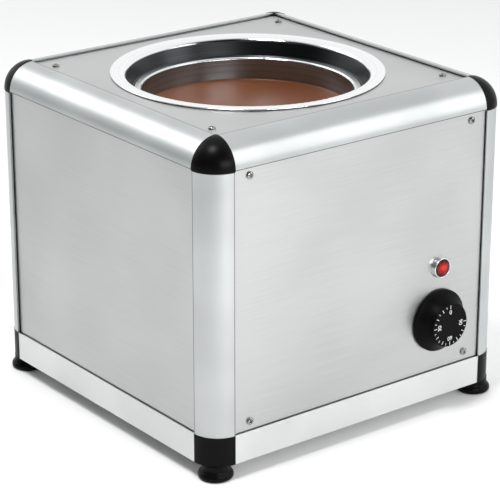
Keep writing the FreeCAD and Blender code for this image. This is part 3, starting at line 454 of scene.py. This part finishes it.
def screw_head_mesh():
    """One pan head cross recessed screw, its head's underside at 0 and its shank below."""
    solid = bpy.data.objects.new("screw_blank", screw_blank_mesh())
    cross = bpy.data.objects.new("cross_punch", cross_punch_mesh())
    for thing in (solid, cross):
        scene.collection.objects.link(thing)
    punch = solid.modifiers.new("punch", "BOOLEAN")
    punch.operation, punch.object, punch.solver, punch.use_self = "DIFFERENCE", cross, "EXACT", True
    evaluated = solid.evaluated_get(bpy.context.evaluated_depsgraph_get())
    mesh = bpy.data.meshes.new_from_object(evaluated)
    for thing in (solid, cross):
        bpy.data.objects.remove(thing)
    return mesh


def screw_places():
    """Where the screws sit, each (x, y, z, outward direction, turn of its cross): four on the front, four on
    the rear, two behind the dial and four on the top plate."""
    across, low, high = 123, 49.5, 270.0
    plate_x, plate_y = 128, 118
    dial_spread, dial_turn = 14, 45
    first_turn, next_turn = 20, 31
    places = []
    for side in (-1, 1):
        for z in (low, high):
            for y in (-1, 1):
                turn = first_turn + next_turn * len(places)
                places.append((side * across, y * SHEET_OUT, z, (0, y, 0), turn))
        places.append((DIAL_ACROSS + side * dial_spread, -SHEET_OUT, DIAL_HEIGHT, (0, -1, 0), dial_turn))
        for y in (-1, 1):
            turn = first_turn + next_turn * len(places)
            places.append((side * plate_x, y * plate_y, PLATE_TOP, (0, 0, 1), turn))
    return places


def drive_screws(name, places, node, steel):
    """One piece with a copy of the screw at each of the places."""
    head = screw_head_mesh()
    bm = bmesh.new()
    for x, y, z, outward, turn in places:
        copy = head.copy()
        spin = Matrix.Rotation(math.radians(turn), 4, "Z")
        lean = Vector(outward).to_track_quat("Z", "Y").to_matrix().to_4x4()
        copy.transform(Matrix.Translation(Vector((x, y, z)) * MM) @ lean @ spin)
        bm.from_mesh(copy)
        bpy.data.meshes.remove(copy)
    piece = place_piece(name, mesh_of(name, bm), "case", steel, smooth=False)
    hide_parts(node)
    edge = piece.modifiers.new("rounded_edges", "BEVEL")
    edge.width, edge.segments, edge.limit_method, edge.angle_limit = 0.1 * MM, 1, "ANGLE", math.radians(40)


def draw_tick(bm, step, lift):
    """A tick of the dial's scale, step degrees round from the top, longer and thicker every 30 degrees."""
    long_tick = step % 30 == 0
    inner, half = (15.6 * MM, 0.32 * MM) if long_tick else (16.9 * MM, 0.26 * MM)
    outer = 19.0 * MM
    turn = Matrix.Rotation(math.radians(step), 4, "Z")
    corners = ((-half, inner), (half, inner), (half, outer), (-half, outer))
    bm.faces.new([bm.verts.new(turn @ Vector((x, y, lift))) for x, y in corners])


def draw_number(bm, step, number, lift):
    """A number of the dial's scale, upright when step degrees round has turned to the top."""
    words = bpy.data.curves.new("number", "FONT")
    words.body, words.size = number, 5.6 * MM
    words.align_x, words.align_y, words.offset = "CENTER", "CENTER", 0.08 * MM
    shown = bpy.data.objects.new("number", words)
    scene.collection.objects.link(shown)
    flat = bpy.data.meshes.new_from_object(shown.evaluated_get(bpy.context.evaluated_depsgraph_get()))
    bpy.data.objects.remove(shown)
    flat.transform(Matrix.Rotation(math.radians(step), 4, "Z") @ Matrix.Translation((0, 12.4 * MM, lift)))
    bm.from_mesh(flat)
    bpy.data.meshes.remove(flat)


def print_dial(ink):
    """Numbers and ticks on the dial's face, anticlockwise from 0 at the top, as ink laid on the moulding."""
    lift = 0.03 * MM
    bm = bmesh.new()
    for step in range(0, 271, 15):
        draw_tick(bm, step, lift)
    for step, number in ((0, "0"), (90, "30"), (180, "60"), (270, "90")):
        draw_number(bm, step, number, lift)
    face = Matrix.Translation((DIAL_X, DIAL_FACE_Y, DIAL_Z)) @ FACING_FRONT
    bmesh.ops.transform(bm, verts=bm.verts, matrix=face)
    mesh = bpy.data.meshes.new("dial_print")
    bm.to_mesh(mesh)
    bm.free()
    place_piece("dial_print", mesh, "dial", ink, smooth=False)


def facet_lens(red):
    """The lamp's lens: a low dome cut into flat facets, ring by ring, like a reflector."""
    seat, rim, crown = 1.5 * MM, 4.5 * MM, 1.3 * MM
    # Each ring's radius, its share of the crown's height and its number of corners, from the rim inward
    rings = [(LENS_RADIUS, 0, 16), (6.2 * MM, 0.35, 12), (3.6 * MM, 0.78, 8)]
    bm = bmesh.new()
    rows = []
    for k, (radius, share, count) in enumerate(rings):
        height = rim + share * crown
        angles = [2 * math.pi * (i + k / 2) / count for i in range(count)]
        rows.append([bm.verts.new((radius * math.cos(a), radius * math.sin(a), height)) for a in angles])
    low = [bm.verts.new((v.co.x, v.co.y, seat)) for v in rows[0]]
    for i in range(len(low)):
        j = (i + 1) % len(low)
        bm.faces.new((low[i], low[j], rows[0][j], rows[0][i]))
    bm.faces.new(low[::-1])
    for outer, inner in zip(rows, rows[1:]):
        bmesh.ops.bridge_loops(bm, edges=[e for row in (outer, inner) for e in ring_edges(bm, row)])
    top = bm.verts.new((0, 0, rim + crown))
    last = rows[-1]
    for here, after in zip(last, last[1:] + last[:1]):
        bm.faces.new((here, after, top))
    seated = Matrix.Translation((DIAL_X, PANEL_Y, LAMP_Z)) @ FACING_FRONT
    bmesh.ops.transform(bm, verts=bm.verts, matrix=seated)
    bmesh.ops.triangulate(bm, faces=[f for f in bm.faces if len(f.verts) == 4])
    piece = place_piece("faceted_lens", mesh_of("faceted_lens", bm), "case", red, smooth=False)
    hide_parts("lamp_lens")


def ring_edges(bm, row):
    """The edges that close a ring of vertices, made where they are missing."""
    pairs = zip(row, row[1:] + row[:1])
    return [bm.edges.get(pair) or bm.edges.new(pair) for pair in pairs]


def pour_chocolate(brown):
    """The chocolate in the bowl. Its surface lies a little low and climbs the wall by 0.9 mm all round."""
    low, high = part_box("melted_chocolate")
    level, side = high.z, high.x
    climb, sunk, bend = 0.9 * MM, 0.25 * MM, 29.9 * MM
    film = [(side * share, level - sunk) for share in (0.25, 0.5, 0.75, 0.9)]
    wetted = [(side - 3.2 * MM, level - 0.2 * MM), (side - 1.8 * MM, level),
              (side - 0.8 * MM, level + 0.3 * climb), (side, level + climb)]
    corner_out, corner_up = side - bend, low.z + bend
    round_part = [(corner_out + bend * math.cos(a), corner_up - bend * math.sin(a))
                  for a in map(math.radians, range(0, 91, 10))]
    bm = bmesh.new()
    lathe(bm, [(0, level - sunk)] + film + wetted + round_part + [(0, low.z)], 96)
    piece = place_piece("chocolate_fill", mesh_of("chocolate_fill", bm), "bowl_set", brown)
    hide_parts("melted_chocolate")


# Assembly

aim_camera()
light_studio()

steel_grey = ("#B1B2B2", "#BBBCBC")
anodised_grey = ("#B2B5B5", "#BBBEBE")
steel_x = brushed_stainless("brushed_stainless_x", "x", steel_grey)
steel_y = brushed_stainless("brushed_stainless_y", "y", steel_grey)
# The dark line beside the slots on these extrusions is painted shade
anodised = satin_anodised_aluminium("satin_anodised_aluminium", anodised_grey, painted_slot_shade=True)
anodised_no_painted_shade = satin_anodised_aluminium("satin_anodised_without_painted_shade", anodised_grey)
bright = satin_anodised_aluminium("bright_anodised_aluminium", ("#CECFCF", "#D6D7D7"))
# Below their polished rims, both walls are darkened by a painted dark reflection
well_steel = turned_metal("polished_deep_drawn_stainless_painted_dark_wall", ("#E2E4E4", "#EAECEC"), (0.08, 0.14), pitch=2.0,
                          strength=0.02, wall=(WELL_PAINTED_DARK_TOP, "#36383A", "#3E4042"))
bowl_steel = turned_metal("satin_spun_stainless_painted_dark_wall", ("#DADCDC", "#E4E6E6"), (0.22, 0.30), pitch=1.6,
                          strength=0.08, wall=(BOWL_PAINTED_DARK_TOP, "#7E8183", "#8E9193"))
zinc = spangled_zinc()
nickel = turned_metal("nickel_plated_steel", ("#83827F", "#9A9996"), (0.12, 0.20), pitch=1.0, strength=0.02)
brass = turned_metal("turned_brass", ("#C9A85C", "#D9BC72"), (0.2, 0.3), pitch=0.8, strength=0.1)
copper = turned_metal("drawn_copper", ("#B87350", "#C98662"), (0.25, 0.35), pitch=1.2, strength=0.05)
chrome = turned_metal("chromed_brass", ("#D8DADB", "#E2E4E5"), (0.26, 0.32), pitch=1.0, strength=0.01,
                      centre=(DIAL_X, 0, LAMP_Z), axis="y")
nylon = moulded_plastic("moulded_black_nylon", ("#060606", "#0C0C0C"), (0.28, 0.36), grain=0.9, strength=0.10,
                        sheen=0.08)
phenolic = moulded_plastic("moulded_black_phenolic", ("#050505", "#0A0A0A"), (0.42, 0.50), grain=0.8,
                           strength=0.12, sheen=0.06)
housing = moulded_plastic("moulded_cream_housing", ("#CFC9B6", "#D9D4C3"), (0.4, 0.5), grain=0.8,
                          strength=0.15)
silicone = moulded_plastic("moulded_red_silicone", ("#7E2A1E", "#8C3527"), (0.5, 0.6), grain=1.0,
                           strength=0.1)
black_silicone = moulded_plastic("moulded_black_silicone", ("#0E0E0E", "#151515"), (0.5, 0.6), grain=1.0,
                                 strength=0.1, sheen=0.3)
wool = loose_mineral_wool()
brown = melted_milk_chocolate()
red = red_lamp_lens()

finishes = {
    "anodised_aluminium": anodised, "bright_aluminium": bright, "brushed_stainless": steel_x,
    "polished_stainless": well_steel, "galvanised_steel": zinc, "plated_screws": nickel, "brass": brass,
    "copper": copper, "black_nylon": nylon, "foot_plastic": nylon, "knob_plastic": phenolic,
    "housing_plastic": housing, "gland_plastic": nylon, "silicone": silicone, "mineral_wool": wool,
    "chrome_bezel": chrome, "red_lens": red, "chocolate": brown,
}
own_finish = {
    "left_panel": steel_y, "right_panel": steel_y, "bowl": bowl_steel,
    "well_gasket": black_silicone, "gland_seal": black_silicone,
    # Their slots open towards the camera, so the real gap shows and needs no painted shade line
    "corner_post_front_right": anodised_no_painted_shade, "top_rail_rear": anodised_no_painted_shade,
}

for row in frame["record"]["subparts"]:
    node = frame["nodes"][row["node"]]
    finish = own_finish.get(row["node"], finishes[row["material_slot"]])
    node.data.materials.clear()
    node.data.materials.append(finish)

drive_screws("panel_screw_heads", screw_places(), "panel_screws", nickel)
print_dial(printed_white())
facet_lens(red)
pour_chocolate(brown)
